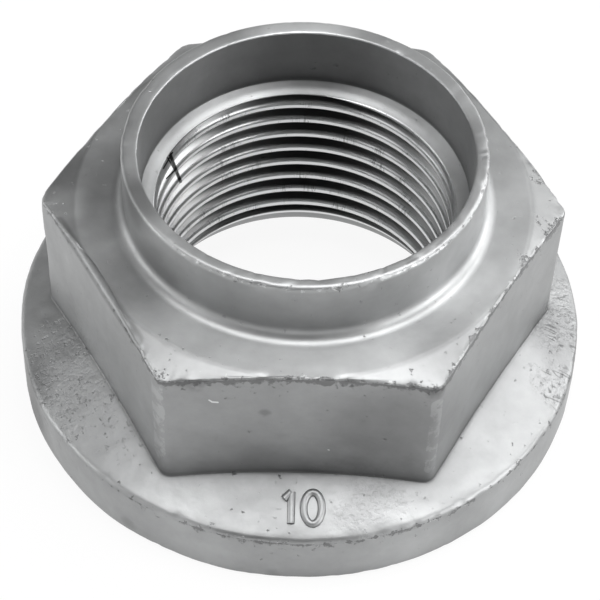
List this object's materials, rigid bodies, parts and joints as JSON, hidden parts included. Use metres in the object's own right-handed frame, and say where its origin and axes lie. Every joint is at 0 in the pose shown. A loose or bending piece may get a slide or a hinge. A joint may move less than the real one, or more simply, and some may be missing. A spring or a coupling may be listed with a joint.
{
  "type": "pinion nut",
  "caption": "Forged hexagon nut with a wide conical flange and a thin turned locking collar, for a differential pinion shaft.",
  "frame": {"origin": "centre of the thread's axis on the flange's bearing face", "axes": "+Z along the thread's axis towards the collar; one flat of the hexagon faces -Y"},
  "size_m": [0.0412, 0.0412, 0.0218],
  "materials": {
    "nut": "satin zinc-grey coating over forged and turned steel"
  },
  "bodies": {
    "root": {"nut": "nut"}
  },
  "joints": []
}
